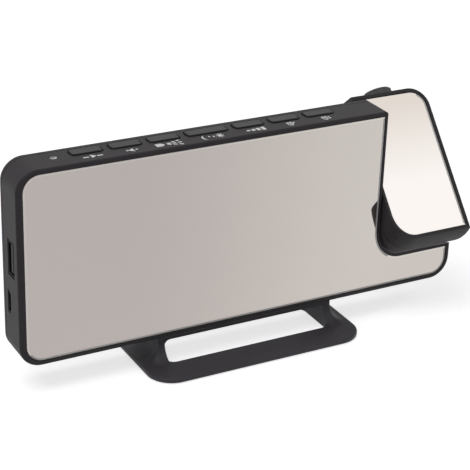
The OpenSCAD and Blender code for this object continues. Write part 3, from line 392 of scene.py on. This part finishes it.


# copies a mirror solid, merges it and takes its front rim off at an angle; inside the rim runs a margin,
# bare of silver at the right (and below, with lowSide) and a little lighter elsewhere, which on the body
# mirror is a painted sheen; the finishes are those of the front, of rim and sides, of the bare margin and of
# the lighter one
def chamferedMirror(name, source, axes, lowSide, body, finishes):
    frontNormal, up = axes @ uprightFront, axes @ uprightUp
    bm = bmesh.new()
    bm.from_mesh(nodes[source].data)
    bmesh.ops.remove_doubles(bm, verts=bm.verts, dist=rimSizes["mergeWithin"])
    bmesh.ops.dissolve_limit(bm, angle_limit=rimSizes["flatTurn"], verts=bm.verts, edges=bm.edges)
    bm.normal_update()
    front = max(vert.co.dot(frontNormal) for vert in bm.verts)
    rim = [e for e in bm.edges if len(e.link_faces) == 2
           and all(abs(v.co.dot(frontNormal) - front) < rimSizes["flatWithin"] for v in e.verts)
           and e.calc_face_angle(0.0) > rimSizes["sharpTurn"]]
    made = bmesh.ops.bevel(bm, geom=rim, offset=rimSizes["chamfer"], offset_type="OFFSET", affect="EDGES",
                           segments=rimSizes["chamferSteps"], profile=0.5, material=-1,
                           clamp_overlap=True)
    bm.normal_update()
    for face in bm.faces:
        face.material_index = 0 if face.normal.dot(frontNormal) > rimSizes["sameWay"] else 1
    plain = [face for face in bm.faces if face.material_index == 0]
    inset = bmesh.ops.inset_region(bm, faces=plain, thickness=rimSizes["margin"], use_even_offset=True)
    for face in inset["faces"]:
        outward, mostly = outwardOf(face, frontNormal), rimSizes["mostly"]
        bare = outward.x > mostly or (lowSide and outward.dot(up) < -mostly)
        face.material_index = 2 if bare else 3
    mesh = bpy.data.meshes.new(name)
    bm.to_mesh(mesh)
    bm.free()
    piece = bpy.data.objects.new(name, mesh)
    bpy.context.scene.collection.objects.link(piece)
    for finish in finishes:
        mesh.materials.append(finish)
    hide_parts(source)
    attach(piece, body)
    print(name, "made:", len(made["faces"]), "edge faces")


edge, margin = polishedEdge("polishedEdge", edgeLook), polishedEdge("mirrorMargin", marginLook)
bodySilver, headSilver = mirrorSilver("mirrorSilver"), mirrorSilver("headSilver", headFade)
# the sheen is a painted highlight along the body mirror's left and top margins
sheen = mirrorSilver("mirrorSheen", lift=mirrorLook["sheen"])
chamferedMirror("bodyMirror", "mirror_panel", Matrix.Identity(3), True, "clock",
                (bodySilver, edge, margin, sheen))
chamferedMirror("headMirror", "head_mirror", headTurn, False, "head", (headSilver, edge, margin, headSilver))


# ink of the marks that are printed in front of the buttons
def inkWhite():
    look = {"fresh": tone(0.95, 0.95, 0.94), "worn": tone(0.82, 0.82, 0.82), "scale": 2600.0,
            "wornSpan": (0.4, 0.75), "roughLow": 0.45, "roughHigh": 0.6, "depth": 0.1, "height": 0.00002}
    material, tree, shader = newTree("inkWhite")
    worn = noise(tree, look["scale"])
    tint = blendColours(tree, remap(tree, worn, *look["wornSpan"], 0, 1), look["fresh"], look["worn"])
    tree.links.new(tint, shader.inputs["Base Color"])
    roughOver(tree, shader, worn, look["roughLow"], look["roughHigh"])
    tree.links.new(bumpOver(tree, worn, look["depth"], look["height"]), shader.inputs["Normal"])
    return material


# the drawings are in millimetres about the mark's middle, before markPlaces puts them on the casing
def disc(bm, x, y, radius, sides=20, turn=0.0):
    place = Matrix.Translation((x, y, 0)) @ Matrix.Rotation(math.radians(turn), 4, "Z")
    return bmesh.ops.create_circle(bm, cap_ends=True, radius=radius, segments=sides, matrix=place)["verts"]


def dash(bm, x, y, length, height, turn=0.0):
    place = (Matrix.Translation((x, y, 0)) @ Matrix.Rotation(math.radians(turn), 4, "Z")
             @ Matrix.Diagonal((length, height, 1, 1)))
    bmesh.ops.create_grid(bm, x_segments=1, y_segments=1, size=0.5, matrix=place)


def vertsOf(geometry):
    return [item for item in geometry if isinstance(item, bmesh.types.BMVert)]


# one arrow head, with a dash on either side of it
downMark = {"arrow": 1.35, "turn": -90, "rise": 0.15, "dashAt": 2.7, "dashLength": 2.2, "dashHeight": 0.6}
upMark = {"arrow": 1.35, "turn": 90, "rise": -0.15, "dashAt": 1.8, "dashLength": 0.9, "dashHeight": 0.6}


def drawArrow(bm, look):
    disc(bm, 0, look["rise"], look["arrow"], 3, look["turn"])
    for side in (-1, 1):
        dash(bm, side * look["dashAt"], 0, look["dashLength"], look["dashHeight"])


# a projector's case and nose (x, y, length, height) with dashed rays spreading from it
projectMark = {"case": (-4.2, 0, 2.6, 2.0), "nose": (-2.55, 0, 0.7, 1.1), "rayTurns": (-13, 0, 13),
               "rayFrom": -2.3, "firstDash": 2.0, "dashStep": 2.25, "dashes": 3, "dashLength": 1.6,
               "dashHeight": 0.5}


def drawProjector(bm, look):
    dash(bm, *look["case"])
    dash(bm, *look["nose"])
    for turn in look["rayTurns"]:
        a = math.radians(turn)
        for k in range(look["dashes"]):
            reach = look["firstDash"] + look["dashStep"] * k
            dash(bm, look["rayFrom"] + reach * math.cos(a), reach * math.sin(a), look["dashLength"],
                 look["dashHeight"], turn)


# a moon, a star, a dot and a sun (x, y, radius, sides); the sun's rays are shares of its radius
snoozeMark = {"moon": (-3.0, 0, 1.5, 28), "moonFold": 0.5, "star": (-1.3, 0.4, 0.4, 10),
              "dot": (0.4, 0, 0.42, 12), "sun": (3.0, 0, 1.45, 18), "core": 0.6, "rayEvery": 45,
              "rayMiddle": 0.88, "rayLength": 0.3, "rayWidth": 0.26}


def drawMoonAndSun(bm, look):
    x, y, radius, sides = look["moon"]
    for vert in disc(bm, 0, 0, radius, sides):
        if vert.co.x > 0:
            vert.co.x *= -look["moonFold"]    # the right half folds into the left one
        vert.co += Vector((x, y, 0))
    disc(bm, *look["star"])
    disc(bm, *look["dot"])
    x, y, radius, sides = look["sun"]
    disc(bm, x, y, radius * look["core"], sides)
    for turn in range(0, 360, look["rayEvery"]):
        a, reach = math.radians(turn), radius * look["rayMiddle"]
        dash(bm, x + reach * math.cos(a), y + reach * math.sin(a), radius * look["rayLength"],
             radius * look["rayWidth"], turn)


# bars that grow from left to right
modeMark = {"bars": 4, "first": -3.15, "step": 2.1, "length": 1.5, "height": 0.8, "grow": 0.5}


def drawBars(bm, look):
    for k in range(look["bars"]):
        dash(bm, look["first"] + look["step"] * k, 0, look["length"], look["height"] + look["grow"] * k)


# an alarm dial (x, y, radius, line, sides) with strokes (x, y, length, height, turn) for its hands and
# bells, and one or two dots (x, y, radius, sides) beside it
alarmOneMark = {"dial": (-0.4, -0.1, 1.2, 0.42, 28),
                "hands": ((-0.4, 0.12, 0.36, 0.7, 0), (-0.2, -0.12, 0.7, 0.36, 0)),
                "bells": ((-1.3, 1.0, 0.8, 0.42, 40), (0.5, 1.0, 0.8, 0.42, -40)),
                "dot": (1.5, 0.55, 0.4, 12), "dots": 1, "dotStep": 1.0}
alarmTwoMark = dict(alarmOneMark, dots=2)


def hoop(bm, x, y, radius, line, sides):
    place = Matrix.Translation((x, y, 0))
    outer = bmesh.ops.create_circle(bm, radius=radius, segments=sides, matrix=place)["verts"]
    rim = list(dict.fromkeys(e for v in outer for e in v.link_edges))
    inner = vertsOf(bmesh.ops.extrude_edge_only(bm, edges=rim)["geom"])
    shrink = 1 - line / radius
    bmesh.ops.scale(bm, vec=(shrink, shrink, 1), space=Matrix.Translation((-x, -y, 0)), verts=inner)


def drawAlarm(bm, look):
    hoop(bm, *look["dial"])
    for stroke in look["hands"] + look["bells"]:
        dash(bm, *stroke)
    x, y, radius, sides = look["dot"]
    for k in range(look["dots"]):
        disc(bm, x, y - look["dotStep"] * k, radius, sides)


markPlaces = {"row": 13.7, "ink": 0.03, "tall": 1.3,    # millimetres; tall stretches the marks to the back
              "marks": (("markDown", -63.8, drawArrow, downMark), ("markUp", -48.6, drawArrow, upMark),
                        ("markProject", -33.5, drawProjector, projectMark),
                        ("markSnooze", -15.7, drawMoonAndSun, snoozeMark),
                        ("markMode", 2.5, drawBars, modeMark),
                        ("markAlarmOne", 17.8, drawAlarm, alarmOneMark),
                        ("markAlarmTwo", 33.2, drawAlarm, alarmTwoMark))}
ink = inkWhite()
for name, x, draw, look in markPlaces["marks"]:
    bm = bmesh.new()
    draw(bm, look)
    raised = bmesh.ops.extrude_face_region(bm, geom=bm.faces[:])["geom"]
    bmesh.ops.translate(bm, vec=(0, 0, markPlaces["ink"]), verts=vertsOf(raised))
    bmesh.ops.recalc_face_normals(bm, faces=bm.faces)
    bmesh.ops.scale(bm, vec=(mm, markPlaces["tall"] * mm, mm), verts=bm.verts)
    bmesh.ops.translate(bm, vec=(x * mm, markPlaces["row"] * mm, bodyTop), verts=bm.verts)
    mesh = bpy.data.meshes.new(name)
    bm.to_mesh(mesh)
    bm.free()
    piece = bpy.data.objects.new(name, mesh)
    bpy.context.scene.collection.objects.link(piece)
    mesh.materials.append(ink)
    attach(piece, "clock")
print("marks printed:", len(markPlaces["marks"]))


# place, lens and sensor in millimetres, angles in degrees, nearest and farthest in metres
cameraLook = {"place": (-270.04, -465.86, 301.66), "azimuth": 28.914, "elevation": 24.899, "roll": 1.919,
              "lens": 120.39, "sensor": 36.0, "shift": (0.0010, 0.00227), "nearest": 0.02,
              "farthest": 20.0}


def addCamera():
    look = cameraLook
    a, e, r = (math.radians(look[key]) for key in ("azimuth", "elevation", "roll"))
    ahead = Vector((math.sin(a) * math.cos(e), math.cos(a) * math.cos(e), -math.sin(e)))
    right = Vector((math.cos(a), -math.sin(a), 0))
    up = right.cross(ahead)
    right, up = right * math.cos(r) + up * math.sin(r), up * math.cos(r) - right * math.sin(r)
    data = bpy.data.cameras.new("camera")
    data.lens = look["lens"]
    data.sensor_width = look["sensor"]
    data.shift_x, data.shift_y = look["shift"]
    data.clip_start, data.clip_end = look["nearest"], look["farthest"]
    camera = bpy.data.objects.new("camera", data)
    bpy.context.scene.collection.objects.link(camera)
    turn = Matrix((right, up, -ahead)).transposed().to_4x4()
    camera.matrix_world = Matrix.Translation(Vector(look["place"]) * mm) @ turn
    bpy.context.scene.camera = camera


addCamera()


# 1 where the camera, a mirror or a lens sees the backdrop itself, 0 for the light that falls on the clock
def seenPlainly(tree):
    path = make(tree, "ShaderNodeLightPath")
    either = mathNode(tree, "MAXIMUM", path.outputs["Is Camera Ray"], path.outputs["Is Glossy Ray"])
    return mathNode(tree, "MAXIMUM", either, path.outputs["Is Transmission Ray"])


floorLook = {"size": 4.0, "paper": tone(0.80, 0.80, 0.80), "rough": 0.9, "glow": 0.69,
             "glowColour": tone(1, 1, 1)}


def addFloor():
    bm = bmesh.new()
    bmesh.ops.create_grid(bm, x_segments=1, y_segments=1, size=floorLook["size"])
    mesh = bpy.data.meshes.new("floor")
    bm.to_mesh(mesh)
    bm.free()
    floor = bpy.data.objects.new("floor", mesh)
    bpy.context.scene.collection.objects.link(floor)
    material, tree, shader = newTree("paper")
    shader.inputs["Base Color"].default_value = floorLook["paper"]
    shader.inputs["Roughness"].default_value = floorLook["rough"]
    shader.inputs["Specular IOR Level"].default_value = 0.0
    shader.inputs["Emission Color"].default_value = floorLook["glowColour"]
    glow = mathNode(tree, "MULTIPLY", seenPlainly(tree), floorLook["glow"])
    tree.links.new(glow, shader.inputs["Emission Strength"])
    mesh.materials.append(material)


worldLook = {"colour": tone(1, 1, 1), "lit": 0.20, "seen": 1.0}


def addWorld():
    world = bpy.data.worlds.new("studio")
    bpy.context.scene.world = world
    world.use_nodes = True
    tree = world.node_tree
    tree.nodes.clear()
    output = tree.nodes.new("ShaderNodeOutputWorld")
    strength = remap(tree, seenPlainly(tree), 0, 1, worldLook["lit"], worldLook["seen"])
    sky = make(tree, "ShaderNodeBackground", {"Color": worldLook["colour"], "Strength": strength})
    tree.links.new(sky.outputs[0], output.inputs["Surface"])


# places and sizes in metres, power in watts
lampLooks = {"keyLamp": {"place": (-0.5, -0.1, 1.3), "size": 0.9, "power": 7.2},
             "sideLamp": {"place": (-1.3, 0.2, 0.6), "size": 0.8, "power": 0.05},
             "mirrorLamp": {"place": (0.60, -0.62, 0.95), "size": 0.5, "power": 0.62}}
lampAim = (0.03, 0.02, 0.05)


def addLamp(name, look):
    data = bpy.data.lights.new(name, "AREA")
    data.energy = look["power"]
    data.size = look["size"]
    lamp = bpy.data.objects.new(name, data)
    bpy.context.scene.collection.objects.link(lamp)
    lamp.location = look["place"]
    aim = Vector(lampAim) - Vector(look["place"])
    lamp.rotation_euler = aim.to_track_quat("-Z", "Y").to_euler()


addFloor()
addWorld()
for name, look in lampLooks.items():
    addLamp(name, look)
bpy.context.scene.view_settings.view_transform = "Standard"
print("stage lit")
